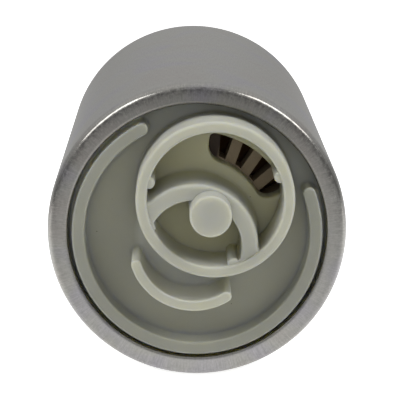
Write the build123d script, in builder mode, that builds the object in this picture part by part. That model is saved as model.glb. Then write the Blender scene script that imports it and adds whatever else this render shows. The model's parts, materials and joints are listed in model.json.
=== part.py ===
from build123d import *
import os
from math import asin, cos, degrees, hypot, pi, radians, sin, sqrt

# In-tank turbine fuel pump, lying on its side, inlet end towards -Y, +Z up, millimetres.
# The origin is the middle of the shell, on the pump's axis. A depth is measured from the
# plane of the inlet rim into the pump, and an angle from +X towards +Z, as seen when one
# looks into the inlet end.

# Fits
seat_gap = 0.02  # round pieces that are pressed or set into one another
run_gap = 0.04  # radial clearance of the shaft in its bushes
side_gap = 0.1  # flat faces that pass each other
slide_gap = 0.1  # a brush in its tunnel, a stem in its guide

# Shell: steel tube with both ends rolled in
shell_diameter = 38.0
shell_wall = 1.3
lip_reach = 2.6  # from the outside of the shell to the edge of the rolled lip
shell_corner = 0.5

# Inlet cover: moulded plate under the rolled lip
floor_depth = 3.5
cover_back = 6.4
lip_shadow = 0.35  # the plate's raised seat stands this far back from the lip's edge
inlet_heading = 66.5  # angle of the line from the axis to the middle of the collar
c_rib_inset = 1.34  # from the lip's edge in to the rib's middle line
c_rib_width = 1.62
c_rib_start = 51.0  # angles of the rib's end centres, from the inlet heading
c_rib_end = 313.3

# Inlet collar and what stands in it
collar_margin = 0.95  # between the collar and the lip's edge, where they come nearest
collar_radius = 9.9
collar_bore = 8.5
collar_rise = 4.2  # how far its front stands out of the rim
crush_rib_radius = 0.75
crush_rib_angles = (-47.0, 99.0, 219.0)
crush_rib_drop = 0.3  # from the collar's front down to the top of the ribs
arch_from_collar = 6.55  # centre to centre, away from the heading
arch_bore = 5.9
arch_top_width = 2.05
arch_base_width = 2.35
arch_drop = 0.35
post_from_collar = 1.55
post_radius = 2.6
post_root_radius = 2.75  # at the floor; the post tapers up to the collar's front
post_rise = 7.0
post_edge = 0.25
collar_outer_edge = 0.4
wall_edge = 0.2
root_fillet = 0.4

# Free-standing arc wall beside the collar
guard_offset = -1.1
guard_radius = 7.55
guard_width = 1.3
guard_start = 131.0
guard_end = 236.0
guard_drop = 0.4

# Inlet port and the side channel that it feeds
channel_inset = 1.2  # from the rim of the wheel to the outside of the channel
channel_width = 3.5
channel_depth = 1.0
port_start = -45.0
port_end = 15.5
port_corner = 1.7
channel_end = 273.0
outlet_port_size = 23.0

# Turbine wheel
chamber_wall = 3.98
chamber_gap = 0.2  # round the wheel
impeller_width = 3.8
rim_thickness = 1.3  # ring outside the vanes
vane_length = 3.2
vane_count = 24
vane_share = 0.505  # part of the pitch that a vane takes, at the middle of its length
vane_sweep = 8.0
vane_phase = -4.0  # angle of the first vane from the inlet heading

# Cast plate behind the wheel
plate_thickness = 3.4
body_length = 10.0
body_skirt_wall = 2.4
body_boss_radius = 5.0

# Shaft and bushes
shaft_radius = 1.5
drive_flat = 1.1  # from the axis to the flat that drives the wheel
bush_radius = 3.0
lower_bush_length = 5.6
upper_bush_length = 4.0
button_radius = 1.7
button_thickness = 1.2
shaft_past_bush = 0.6

# Motor
magnet_length = 29.6
magnet_thickness = 4.38
magnet_size = 132.0  # arc of one magnet
clip_thickness = 0.6
clip_leg = 2.6
clip_shortening = 2.0
rotor_room = 0.8  # between the coils and the pump body, and the commutator and its cover
air_gap = 0.7  # between the armature and the magnets
magnet_overhang = 3.5  # a magnet is this much longer than the armature, at each end
core_hub_radius = 5.2
slot_count = 8
tooth_width = 2.0
shoe_thickness = 1.4
slot_opening = 1.6
coil_overhang = 3.2
coil_inset = 1.2  # from the armature's outside in to the coils
coil_bore = 5.6
liner = 0.15

# Commutator: copper segments on a moulded carrier
carrier_gap = 0.4  # between the coils and the carrier
carrier_thickness = 0.8
carrier_radius = 8.5
carrier_hub_radius = 3.3
segment_thickness = 1.0
segment_bore = 3.7
segment_radius = 8.2
segment_gap = 5.0  # arc between two segments
tang_size = 12.0
tang_thickness = 0.55

# Outlet cover
outlet_thickness = 9.0  # from the motor side to the flange that the far lip holds
outlet_boss_rise = 1.0  # its outer face stands this far out of the far rim
outlet_boss_gap = 0.3
skirt_wall = 2.4
ring_inset = 5.2  # from the cover's motor side to the groove of the seal ring
ring_width = 1.8
ring_height = 1.3

# Brushes, their springs and leads
brush_offset = 5.9
brush_radial = 4.2
brush_across = 3.8
brush_length = 5.6
brush_edge = 0.3
tunnel_length = 8.0
spring_wire = 0.4
brush_spring_radius = 1.35
brush_spring_turns = 3.0
lead_radius = 0.45

# Chokes and terminals
choke_spacing = 4.6  # from the back of a brush tunnel's brush to the middle of the choke
choke_radius = 1.7
choke_rod_radius = 0.8
choke_length = 7.2
choke_winding = 5.0
stem_radius = 1.0
terminal_collar_radius = 1.8
terminal_collar = 0.6
blade_width = 4.8
blade_thickness = 0.8
blade_length = 7.5
blade_tip = 1.0

# Hose nipple with the check valve
nipple_offset = 9.0
nipple_radius = 3.9
nipple_barb = 4.5
nipple_root_radius = 4.6
nipple_root_length = 2.0
nipple_length = 14.5
barb_count = 2
barb_pitch = 4.4
barb_flat = 0.6
nipple_tip = 0.6
passage_radius = 1.9
valve_bore = 2.9
passage_length = 7.0
seat_play = 0.08
valve_head_radius = 2.55
valve_head_rim = 0.7
valve_stem_radius = 0.9
valve_stem_length = 9.2
check_spring_radius = 1.75
check_spring_turns = 4.5
check_spring_length = 7.6
retainer_thickness = 2.0
retainer_wall = 0.7
retainer_hub_radius = 1.7
spoke_width = 0.8
spoke_count = 3

# Relief valve
relief_offset = 9.0
relief_orifice = 1.2
relief_bore = 2.3
relief_orifice_length = 1.5
ball_radius = 1.9
relief_spring_radius = 1.5
relief_spring_turns = 4.0
plug_thickness = 2.0
plug_vent = 0.9

# Worked out from the sizes above
shell_radius = shell_diameter / 2
bore_radius = shell_radius - shell_wall
lip_radius = shell_radius - lip_reach
cover_radius = bore_radius - seat_gap
seat_radius = lip_radius + lip_shadow
c_rib_radius = lip_radius - c_rib_inset
collar_offset = lip_radius - collar_margin - collar_radius
arch_offset = collar_offset - arch_from_collar
post_offset = collar_offset - post_from_collar
impeller_radius = cover_radius - chamber_wall - chamber_gap
vane_tip = impeller_radius - rim_thickness
vane_root = vane_tip - vane_length
channel_radius = impeller_radius - channel_inset
channel_bore = channel_radius - channel_width
magnet_bore = cover_radius - magnet_thickness
core_radius = magnet_bore - air_gap
core_length = magnet_length - 2 * magnet_overhang
coil_radius = core_radius - coil_inset
choke_offset = brush_offset + brush_radial / 2 + choke_spacing
shaft_front = cover_back
impeller_front = cover_back + side_gap
impeller_back = impeller_front + impeller_width
chamber_floor = impeller_back + side_gap
plate_back = chamber_floor + plate_thickness
body_back = cover_back + body_length
magnet_back = body_back + magnet_length
core_front = body_back + rotor_room + coil_overhang
core_back = core_front + core_length
carrier_front = core_back + coil_overhang + carrier_gap
carrier_back = carrier_front + carrier_thickness
commutator_face = carrier_back + segment_thickness
brush_front = commutator_face + side_gap / 2
brush_back = brush_front + brush_length
outlet_front = commutator_face + rotor_room
outlet_flange = outlet_front + outlet_thickness
shell_length = outlet_flange + shell_wall
outlet_face = shell_length + outlet_boss_rise
upper_bush_back = outlet_front + upper_bush_length
shaft_back = upper_bush_back + shaft_past_bush
ring_depth = outlet_front + ring_inset
tunnel_end = outlet_front + tunnel_length
choke_back = outlet_front + choke_length
nipple_end = outlet_face + nipple_length
valve_seat_depth = outlet_front + passage_length
relief_seat_depth = outlet_front + relief_orifice_length


def at(depth):
    """Plane across the pump at this depth, facing out of the inlet end: x is +X, y is +Z."""
    return Plane.XZ.offset(shell_length / 2 - depth)


def y(depth):
    """Row coordinate of a depth."""
    return depth - shell_length / 2


def polar(radius, angle):
    """Point of a cross plane at this radius and angle."""
    return (radius * cos(radians(angle)), radius * sin(radians(angle)))


def toward_inlet(distance):
    """Point of a cross plane on the line from the axis through the middle of the collar."""
    return polar(distance, inlet_heading)


def section(corners):
    """Half section in the XY plane from (radius, depth) corners, to be turned about Y."""
    with BuildSketch(Plane.XY) as half:
        with BuildLine():
            Polyline([(radius, y(depth)) for radius, depth in corners], close=True)
        make_face()
    return half.sketch


def sector(inner, outer, start, size, corner=0.0):
    """Part of a ring between two radii, from the start angle over the given arc."""
    with BuildSketch() as wedge:
        with BuildLine():
            inside = CenterArc((0, 0), inner, start, size)
            outside = CenterArc((0, 0), outer, start, size)
            Line(inside @ 0, outside @ 0)
            Line(inside @ 1, outside @ 1)
        make_face()
        if corner:
            fillet(wedge.vertices(), corner)
    return wedge.sketch


def arc_wall(centre, radius, width, start, end):
    """Curved slot about a centre: what a wall with rounded ends looks like from the front."""
    with BuildSketch() as slot:
        SlotArc(CenterArc(centre, radius, inlet_heading + start, end - start), width)
    return slot.sketch


def coil_spring(centre, radius, wire, turns, front, back):
    """Open helical spring between two depths, wound about an axis along Y."""
    rise = back - front - wire
    with BuildPart() as spring:
        with BuildLine():
            helix = Helix(
                pitch=rise / turns,
                height=rise,
                radius=radius,
                center=(centre[0], y(front + wire / 2), centre[1]),
                direction=(0, 1, 0),
            )
        with BuildSketch(Plane(origin=helix @ 0, z_dir=helix % 0)):
            RegularPolygon(wire / 2, 6)
        sweep(is_frenet=True)
    return spring


def edges_at(piece, depth):
    """Edges that lie in the cross plane at this depth, the shortest first."""
    near = 0.001
    flat = piece.edges().filter_by_position(Axis.Y, y(depth) - near, y(depth) + near)
    return flat.sort_by(SortBy.LENGTH)


def roots(piece, depth, reach):
    """Edges in the cross plane at this depth that stay nearer to the axis than the reach."""
    near = edges_at(piece, depth)
    return near.filter_by(lambda edge: hypot((edge @ 0.5).X, (edge @ 0.5).Z) < reach)


def save(piece, name):
    """Label a finished piece and write it to its own file."""
    piece.part.label = name
    export_step(piece.part, f"parts/{name}.step")


os.makedirs("parts", exist_ok=True)

# Shell
with BuildPart() as shell:
    with BuildSketch(Plane.XY):
        add(
            section(
                [
                    (lip_radius, 0),
                    (shell_radius, 0),
                    (shell_radius, shell_length),
                    (lip_radius, shell_length),
                    (lip_radius, shell_length - shell_wall),
                    (bore_radius, shell_length - shell_wall),
                    (bore_radius, shell_wall),
                    (lip_radius, shell_wall),
                ]
            )
        )
    revolve(axis=Axis.Y)
    rims = shell.edges().filter_by(GeomType.CIRCLE).sort_by(SortBy.RADIUS)[-2:]
    fillet(rims, shell_corner)
save(shell, "shell")

# Inlet cover: collar
arch_centre = toward_inlet(arch_offset)
collar_centre = toward_inlet(collar_offset)
post_centre = toward_inlet(post_offset)
with BuildPart() as collar:
    with BuildSketch(at(floor_depth)):
        with Locations(collar_centre):
            Circle(collar_radius)
            Circle(collar_bore, mode=Mode.SUBTRACT)
    extrude(amount=floor_depth + collar_rise)
    fillet(edges_at(collar, -collar_rise)[-1], collar_outer_edge)
    fillet(edges_at(collar, -collar_rise)[0], post_edge)

# Inlet cover: strainer post, drafted inside the collar and straight in front of it
with BuildPart() as post:
    with BuildSketch(Plane.XY):
        add(
            section(
                [
                    (0, floor_depth),
                    (post_root_radius, floor_depth),
                    (post_radius, -collar_rise),
                    (post_radius, -post_rise),
                    (0, -post_rise),
                ]
            )
        )
    revolve(axis=Axis.Y)
    fillet(edges_at(post, -post_rise), post_edge)

# Inlet cover: arch wall, turned about its own axis and trimmed to the bore of the collar
arch_front = arch_drop - collar_rise
arch_height = floor_depth - arch_front
with BuildPart() as arch:
    with BuildSketch(at(floor_depth)):
        with Locations(arch_centre):
            Circle(arch_bore + arch_base_width)
    extrude(
        amount=arch_height,
        taper=degrees(asin((arch_base_width - arch_top_width) / arch_height)),
    )
    with BuildSketch(at(floor_depth)):
        with Locations(arch_centre):
            Circle(arch_bore)
    extrude(amount=arch_height, mode=Mode.SUBTRACT)
    fillet(edges_at(arch, arch_front), wall_edge)
    with BuildSketch(at(floor_depth)):
        with Locations(collar_centre):
            Circle((collar_bore + collar_radius) / 2)
    extrude(amount=arch_height, mode=Mode.INTERSECT)

with BuildPart() as inlet_cover:
    # plate, with the raised seat that the rolled lip presses on
    with BuildSketch(Plane.XY):
        add(
            section(
                [
                    (0, floor_depth),
                    (seat_radius, floor_depth),
                    (seat_radius, shell_wall),
                    (cover_radius, shell_wall),
                    (cover_radius, cover_back),
                    (0, cover_back),
                ]
            )
        )
    revolve(axis=Axis.Y)
    # C-shaped rib, level with the rim, and the guard wall
    with BuildSketch(at(floor_depth)):
        add(arc_wall((0, 0), c_rib_radius, c_rib_width, c_rib_start, c_rib_end))
    extrude(amount=floor_depth)
    fillet(edges_at(inlet_cover, 0), wall_edge)
    with BuildSketch(at(floor_depth)):
        add(arc_wall(toward_inlet(guard_offset), guard_radius, guard_width, guard_start, guard_end))
    extrude(amount=floor_depth + collar_rise - guard_drop)
    fillet(edges_at(inlet_cover, guard_drop - collar_rise), wall_edge)
    fillet(roots(inlet_cover, floor_depth, (lip_radius + seat_radius) / 2), root_fillet)
    add(collar.part)
    # crush ribs down the bore of the collar
    with BuildSketch(at(floor_depth)):
        with Locations(collar_centre):
            for angle in crush_rib_angles:
                with PolarLocations(collar_bore, 1, start_angle=inlet_heading + angle):
                    Circle(crush_rib_radius)
    extrude(amount=floor_depth + collar_rise - crush_rib_drop)
    add(arch.part)
    with Locations((post_centre[0], 0, post_centre[1])):
        add(post.part)
    # kidney port, side channel and the recess for the thrust button, cut from the back
    with BuildSketch(at(cover_back)):
        add(
            sector(
                channel_bore,
                channel_radius,
                inlet_heading + port_start,
                port_end - port_start,
                port_corner,
            )
        )
    extrude(amount=cover_back - floor_depth, mode=Mode.SUBTRACT)
    with BuildSketch(at(cover_back)):
        add(
            sector(
                channel_bore,
                channel_radius,
                inlet_heading + port_start,
                channel_end - port_start,
                port_corner,
            )
        )
    extrude(amount=channel_depth, mode=Mode.SUBTRACT)
    with BuildSketch(at(cover_back)):
        Circle(button_radius + seat_gap)
    extrude(amount=button_thickness + side_gap, mode=Mode.SUBTRACT)
save(inlet_cover, "inlet_cover")

with BuildPart() as thrust_button:
    with BuildSketch(at(cover_back - side_gap)):
        Circle(button_radius)
    extrude(amount=button_thickness)
save(thrust_button, "thrust_button")

# Turbine wheel: vanes between a hub web and an outer ring, with pockets right through
with BuildPart() as impeller:
    with BuildSketch(at(impeller_front)):
        Circle(impeller_radius)
    extrude(amount=-impeller_width)
    with BuildSketch(at(impeller_front)):
        Circle(vane_tip)
        Circle(vane_root, mode=Mode.SUBTRACT)
        vane_middle = (vane_tip + vane_root) / 2
        vane_width = vane_share * 2 * pi * vane_middle / vane_count
        with PolarLocations(vane_middle, vane_count, start_angle=inlet_heading + vane_phase):
            Rectangle(2 * vane_length, vane_width, rotation=vane_sweep, mode=Mode.SUBTRACT)
    extrude(amount=-impeller_width, mode=Mode.SUBTRACT)
    with BuildSketch(at(impeller_front)):
        Circle(shaft_radius + seat_gap)
        with Locations((0, drive_flat + seat_gap)):
            Rectangle(
                4 * shaft_radius,
                2 * shaft_radius,
                align=(Align.CENTER, Align.MIN),
                mode=Mode.SUBTRACT,
            )
    extrude(amount=-impeller_width, mode=Mode.SUBTRACT)
save(impeller, "impeller")

# Cast plate with the wheel's chamber, its side channel and outlet port
with BuildPart() as pump_body:
    with BuildSketch(Plane.XY):
        add(
            section(
                [
                    (bush_radius + seat_gap, chamber_floor),
                    (impeller_radius + chamber_gap, chamber_floor),
                    (impeller_radius + chamber_gap, cover_back),
                    (cover_radius, cover_back),
                    (cover_radius, body_back),
                    (cover_radius - body_skirt_wall, body_back),
                    (cover_radius - body_skirt_wall, plate_back),
                    (body_boss_radius, plate_back),
                    (body_boss_radius, body_back),
                    (bush_radius + seat_gap, body_back),
                ]
            )
        )
    revolve(axis=Axis.Y)
    with BuildSketch(at(chamber_floor)):
        add(
            sector(
                channel_bore,
                channel_radius,
                inlet_heading + port_start,
                channel_end - port_start,
                port_corner,
            )
        )
    extrude(amount=-channel_depth, mode=Mode.SUBTRACT)
    with BuildSketch(at(chamber_floor)):
        add(
            sector(
                channel_bore,
                channel_radius,
                inlet_heading + channel_end - outlet_port_size,
                outlet_port_size,
                port_corner,
            )
        )
    extrude(amount=-plate_thickness, mode=Mode.SUBTRACT)
save(pump_body, "pump_body")


def bush(front, length):
    """Sintered bearing bush whose front stands at this depth."""
    with BuildPart() as sleeve:
        with BuildSketch(at(front)):
            Circle(bush_radius)
            Circle(shaft_radius + run_gap, mode=Mode.SUBTRACT)
        extrude(amount=-length)
    return sleeve


save(bush(body_back - lower_bush_length, lower_bush_length), "lower_bush")
save(bush(outlet_front, upper_bush_length), "upper_bush")

# Shaft, with the flat that drives the wheel
with BuildPart() as shaft:
    with BuildSketch(at(shaft_front)):
        Circle(shaft_radius)
    extrude(amount=-(shaft_back - shaft_front))
    with BuildSketch(at(shaft_front)):
        with Locations((0, drive_flat)):
            Rectangle(4 * shaft_radius, 2 * shaft_radius, align=(Align.CENTER, Align.MIN))
    extrude(amount=-(impeller_back - shaft_front), mode=Mode.SUBTRACT)
save(shaft, "shaft")

# Armature: stack of slotted laminations
with BuildPart() as armature_core:
    with BuildSketch(at(core_front)):
        Circle(core_radius)
        Circle(core_radius - shoe_thickness, mode=Mode.SUBTRACT)
        with PolarLocations(core_radius, slot_count, start_angle=180 / slot_count):
            Rectangle(4 * shoe_thickness, slot_opening, mode=Mode.SUBTRACT)
        with PolarLocations(0, slot_count):
            Rectangle(
                core_radius - shoe_thickness / 2,
                tooth_width,
                align=(Align.MIN, Align.CENTER),
            )
        Circle(core_hub_radius)
        Circle(shaft_radius + seat_gap, mode=Mode.SUBTRACT)
    extrude(amount=-core_length)
save(armature_core, "armature_core")

# Coils: what fills the slots, and the bundles where the wire turns over at both ends
slot_floor = core_hub_radius + liner
slot_roof = core_radius - shoe_thickness - liner
with BuildPart() as windings:
    with BuildSketch(at(core_front)):
        Circle(slot_roof)
        Circle(coil_bore, mode=Mode.SUBTRACT)
        with PolarLocations(0, slot_count):
            Rectangle(
                2 * core_radius,
                tooth_width + 2 * liner,
                align=(Align.MIN, Align.CENTER),
                mode=Mode.SUBTRACT,
            )
    extrude(amount=-core_length)
    with BuildSketch(Plane.XY) as bundles:
        for inner_end, outer_end in (
            (core_front, core_front - coil_overhang),
            (core_back, core_back + coil_overhang),
        ):
            add(
                section(
                    [
                        (coil_bore, inner_end),
                        (coil_radius, inner_end),
                        (coil_radius, outer_end),
                        (coil_bore, outer_end),
                    ]
                )
            )
        bundle_ends = bundles.vertices().group_by(Axis.Y)
        fillet(bundle_ends[0] + bundle_ends[-1], (coil_radius - coil_bore) / 5)
    revolve(axis=Axis.Y)
save(windings, "windings")

# Commutator
with BuildPart() as commutator_hub:
    with BuildSketch(Plane.XY):
        add(
            section(
                [
                    (shaft_radius + seat_gap, core_back),
                    (carrier_hub_radius, core_back),
                    (carrier_hub_radius, carrier_front),
                    (carrier_radius, carrier_front),
                    (carrier_radius, carrier_back),
                    (carrier_hub_radius, carrier_back),
                    (carrier_hub_radius, commutator_face),
                    (shaft_radius + seat_gap, commutator_face),
                ]
            )
        )
    revolve(axis=Axis.Y)
save(commutator_hub, "commutator_hub")

tang_bore = carrier_radius + seat_gap
for number in range(slot_count):
    middle = 360 / slot_count * number
    segment_size = 360 / slot_count - segment_gap
    with BuildPart() as segment:
        with BuildSketch(at(carrier_back)):
            add(sector(segment_bore, segment_radius, middle - segment_size / 2, segment_size))
            add(sector(segment_radius, tang_bore + tang_thickness, middle - tang_size / 2, tang_size))
        extrude(amount=-segment_thickness)
        with BuildSketch(at(carrier_front)):
            add(sector(tang_bore, tang_bore + tang_thickness, middle - tang_size / 2, tang_size))
        extrude(amount=-carrier_thickness)
    save(segment, f"commutator_segment_{number + 1}")

# Magnets and the spring clips that press them apart
for side, heading in (("left", 180), ("right", 0)):
    with BuildPart() as magnet:
        with BuildSketch(at(body_back)):
            add(sector(magnet_bore, cover_radius, heading - magnet_size / 2, magnet_size))
        extrude(amount=-magnet_length)
    save(magnet, f"magnet_{side}")

clip_size = 180 - magnet_size - 2 * degrees(seat_gap / magnet_bore)
for side, heading in (("top", 90), ("bottom", 270)):
    with BuildPart() as clip:
        with BuildSketch(at(body_back + clip_shortening / 2)):
            add(sector(cover_radius - clip_thickness, cover_radius, heading - clip_size / 2, clip_size))
            for edge in (-1, 1):
                leg_size = degrees(clip_thickness / cover_radius)
                leg_start = heading + edge * (clip_size - leg_size) / 2 - leg_size / 2
                add(sector(cover_radius - clip_thickness - clip_leg, cover_radius, leg_start, leg_size))
        extrude(amount=-(magnet_length - clip_shortening))
    save(clip, f"clip_{side}")

# Outlet cover
nipple_centre = polar(nipple_offset, 90)
relief_centre = polar(relief_offset, 270)
boss_radius = lip_radius - outlet_boss_gap
valve_cone = valve_bore - passage_radius
relief_cone = relief_bore - relief_orifice
ring_floor = cover_radius - ring_height
with BuildPart() as outlet_cover:
    with BuildSketch(Plane.XY):
        add(
            section(
                [
                    (0, outlet_front),
                    (cover_radius - skirt_wall, outlet_front),
                    (cover_radius - skirt_wall, magnet_back),
                    (cover_radius, magnet_back),
                    (cover_radius, ring_depth),
                    (ring_floor, ring_depth),
                    (ring_floor, ring_depth + ring_width),
                    (cover_radius, ring_depth + ring_width),
                    (cover_radius, outlet_flange),
                    (boss_radius, outlet_flange),
                    (boss_radius, outlet_face),
                    (0, outlet_face),
                ]
            )
        )
    revolve(axis=Axis.Y)
    # hose nipple: root, hose tail and saw-tooth barbs
    with BuildSketch(at(outlet_face)):
        with Locations(nipple_centre):
            Circle(nipple_root_radius)
    extrude(amount=-nipple_root_length)
    with BuildSketch(at(outlet_face)):
        with Locations(nipple_centre):
            Circle(nipple_radius)
    extrude(amount=-nipple_length)
    nipple_edge = outlet_cover.edges().filter_by(GeomType.CIRCLE).group_by(Axis.Y)[-1]
    chamfer(nipple_edge, nipple_tip)
    for number in range(barb_count):
        barb_back = nipple_end - nipple_tip - number * barb_pitch
        with BuildSketch(at(barb_back - barb_pitch / 2)):
            with Locations(nipple_centre):
                Circle(nipple_barb)
        barb_slope = degrees(asin((nipple_barb - nipple_radius) / (barb_pitch / 2)))
        extrude(amount=-barb_pitch / 2, taper=barb_slope)
        with BuildSketch(at(barb_back - barb_pitch / 2)):
            with Locations(nipple_centre):
                Circle(nipple_barb)
        extrude(amount=barb_flat)
    # passage, seat and bore of the check valve
    with BuildSketch(at(outlet_front)):
        with Locations(nipple_centre):
            Circle(passage_radius)
    extrude(amount=-(valve_seat_depth - outlet_front), mode=Mode.SUBTRACT)
    with BuildSketch(at(valve_seat_depth)):
        with Locations(nipple_centre):
            Circle(passage_radius)
    extrude(amount=-valve_cone, taper=-45, mode=Mode.SUBTRACT)
    with BuildSketch(at(valve_seat_depth + valve_cone)):
        with Locations(nipple_centre):
            Circle(valve_bore)
    extrude(amount=-(nipple_end - valve_seat_depth - valve_cone), mode=Mode.SUBTRACT)
    # orifice, seat and bore of the relief valve
    with BuildSketch(at(outlet_front)):
        with Locations(relief_centre):
            Circle(relief_orifice)
    extrude(amount=-(relief_seat_depth - outlet_front), mode=Mode.SUBTRACT)
    with BuildSketch(at(relief_seat_depth)):
        with Locations(relief_centre):
            Circle(relief_orifice)
    extrude(amount=-relief_cone, taper=-45, mode=Mode.SUBTRACT)
    with BuildSketch(at(relief_seat_depth + relief_cone)):
        with Locations(relief_centre):
            Circle(relief_bore)
    extrude(amount=-(outlet_face - relief_seat_depth - relief_cone), mode=Mode.SUBTRACT)
    # seat of the upper bush and room for the end of the shaft
    with BuildSketch(at(outlet_front)):
        Circle(bush_radius + seat_gap)
    extrude(amount=-upper_bush_length, mode=Mode.SUBTRACT)
    with BuildSketch(at(upper_bush_back)):
        Circle(shaft_radius + slide_gap)
    extrude(amount=-(shaft_past_bush + slide_gap), mode=Mode.SUBTRACT)
    # brush tunnels, choke pockets and terminal holes, one of each on both sides
    for heading in (0, 180):
        with BuildSketch(at(outlet_front)):
            with Locations(polar(brush_offset, heading)):
                Rectangle(brush_radial + 2 * slide_gap, brush_across + 2 * slide_gap)
        extrude(amount=-(tunnel_end - outlet_front), mode=Mode.SUBTRACT)
        with BuildSketch(at(outlet_front)):
            with Locations(polar(choke_offset, heading)):
                Circle(choke_radius + slide_gap)
        extrude(amount=-choke_length, mode=Mode.SUBTRACT)
        with BuildSketch(at(choke_back)):
            with Locations(polar(choke_offset, heading)):
                Circle(stem_radius + seat_gap)
        extrude(amount=-(outlet_face - choke_back), mode=Mode.SUBTRACT)
save(outlet_cover, "outlet_cover")

with BuildPart() as seal_ring:
    with BuildSketch(Plane.XY) as ring_section:
        add(
            section(
                [
                    (ring_floor + seat_gap, ring_depth + seat_gap),
                    (bore_radius - seat_gap, ring_depth + seat_gap),
                    (bore_radius - seat_gap, ring_depth + ring_width - seat_gap),
                    (ring_floor + seat_gap, ring_depth + ring_width - seat_gap),
                ]
            )
        )
        fillet(ring_section.vertices(), ring_height / 3)
    revolve(axis=Axis.Y)
save(seal_ring, "seal_ring")

# Brush gear, chokes and terminals on both sides
for side, heading in (("left", 180), ("right", 0)):
    brush_centre = polar(brush_offset, heading)
    choke_centre = polar(choke_offset, heading)
    with BuildPart() as brush:
        with BuildSketch(at(brush_front)):
            with Locations(brush_centre):
                Rectangle(brush_radial, brush_across)
        extrude(amount=-brush_length)
        chamfer(brush.edges().filter_by(Axis.Y), brush_edge)
    save(brush, f"brush_{side}")
    save(
        coil_spring(
            brush_centre,
            brush_spring_radius,
            spring_wire,
            brush_spring_turns,
            brush_back + seat_gap,
            tunnel_end - seat_gap,
        ),
        f"brush_spring_{side}",
    )
    with BuildPart() as lead:
        with BuildSketch(at(brush_back)):
            with Locations(brush_centre):
                Circle(lead_radius)
        extrude(amount=-(tunnel_end - brush_back))
    save(lead, f"brush_lead_{side}")
    with BuildPart() as choke:
        with BuildSketch(at(outlet_front)):
            with Locations(choke_centre):
                Circle(choke_rod_radius)
        extrude(amount=-choke_length)
        with BuildSketch(at(outlet_front + (choke_length - choke_winding) / 2)):
            with Locations(choke_centre):
                Circle(choke_radius)
        extrude(amount=-choke_winding)
    save(choke, f"choke_{side}")
    with BuildPart() as terminal:
        with BuildSketch(at(choke_back)):
            with Locations(choke_centre):
                Circle(stem_radius)
        extrude(amount=-(outlet_face - choke_back))
        with BuildSketch(at(outlet_face)):
            with Locations(choke_centre):
                Circle(terminal_collar_radius)
        extrude(amount=-terminal_collar)
        with BuildSketch(at(outlet_face)):
            with Locations(choke_centre):
                Rectangle(blade_thickness, blade_width)
        extrude(amount=-(terminal_collar + blade_length))
        tips = terminal.edges().group_by(Axis.Y)[-1].filter_by(Axis.X)
        chamfer(tips, blade_tip, blade_tip / 2)
    save(terminal, f"terminal_{side}")

# Check valve: poppet, its spring and the retainer that guides the stem
head_front = valve_seat_depth - seat_play
head_nose_radius = passage_radius - 2 * seat_play
head_cone = valve_head_radius - head_nose_radius
head_back = head_front + head_cone + valve_head_rim
retainer_depth = head_back + check_spring_length
with BuildPart() as check_valve:
    with BuildSketch(at(head_front)):
        with Locations(nipple_centre):
            Circle(head_nose_radius)
    extrude(amount=-head_cone, taper=-45)
    with BuildSketch(at(head_front + head_cone)):
        with Locations(nipple_centre):
            Circle(valve_head_radius)
    extrude(amount=-valve_head_rim)
    with BuildSketch(at(head_back)):
        with Locations(nipple_centre):
            Circle(valve_stem_radius)
    extrude(amount=-valve_stem_length)
save(check_valve, "check_valve")
save(
    coil_spring(
        nipple_centre,
        check_spring_radius,
        spring_wire,
        check_spring_turns,
        head_back + seat_gap,
        retainer_depth - seat_gap,
    ),
    "check_spring",
)
with BuildPart() as check_retainer:
    with BuildSketch(at(retainer_depth)):
        with Locations(nipple_centre):
            Circle(valve_bore - seat_gap)
            Circle(valve_bore - seat_gap - retainer_wall, mode=Mode.SUBTRACT)
            with PolarLocations(0, spoke_count, start_angle=90):
                Rectangle(
                    valve_bore - retainer_wall / 2,
                    spoke_width,
                    align=(Align.MIN, Align.CENTER),
                )
            Circle(retainer_hub_radius)
            Circle(valve_stem_radius + slide_gap, mode=Mode.SUBTRACT)
    extrude(amount=-retainer_thickness)
save(check_retainer, "check_retainer")

# Relief valve: ball on its cone, its spring and the vented plug
ball_play = seat_play
ball_depth = relief_seat_depth - relief_orifice + ball_radius * sqrt(2) + ball_play
plug_front = outlet_face - plug_thickness
spring_rest = ball_depth + sqrt((ball_radius + spring_wire / 2) ** 2 - relief_spring_radius**2)
with BuildPart() as relief_ball:
    with Locations((relief_centre[0], y(ball_depth), relief_centre[1])):
        Sphere(ball_radius)
save(relief_ball, "relief_ball")
save(
    coil_spring(
        relief_centre,
        relief_spring_radius,
        spring_wire,
        relief_spring_turns,
        spring_rest - spring_wire / 2 + seat_gap,
        plug_front - seat_gap,
    ),
    "relief_spring",
)
with BuildPart() as relief_plug:
    with BuildSketch(at(plug_front)):
        with Locations(relief_centre):
            Circle(relief_bore - seat_gap)
            Circle(plug_vent, mode=Mode.SUBTRACT)
    extrude(amount=-plug_thickness)
save(relief_plug, "relief_plug")
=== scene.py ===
import json
from math import cos, pi, radians, sin

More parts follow.
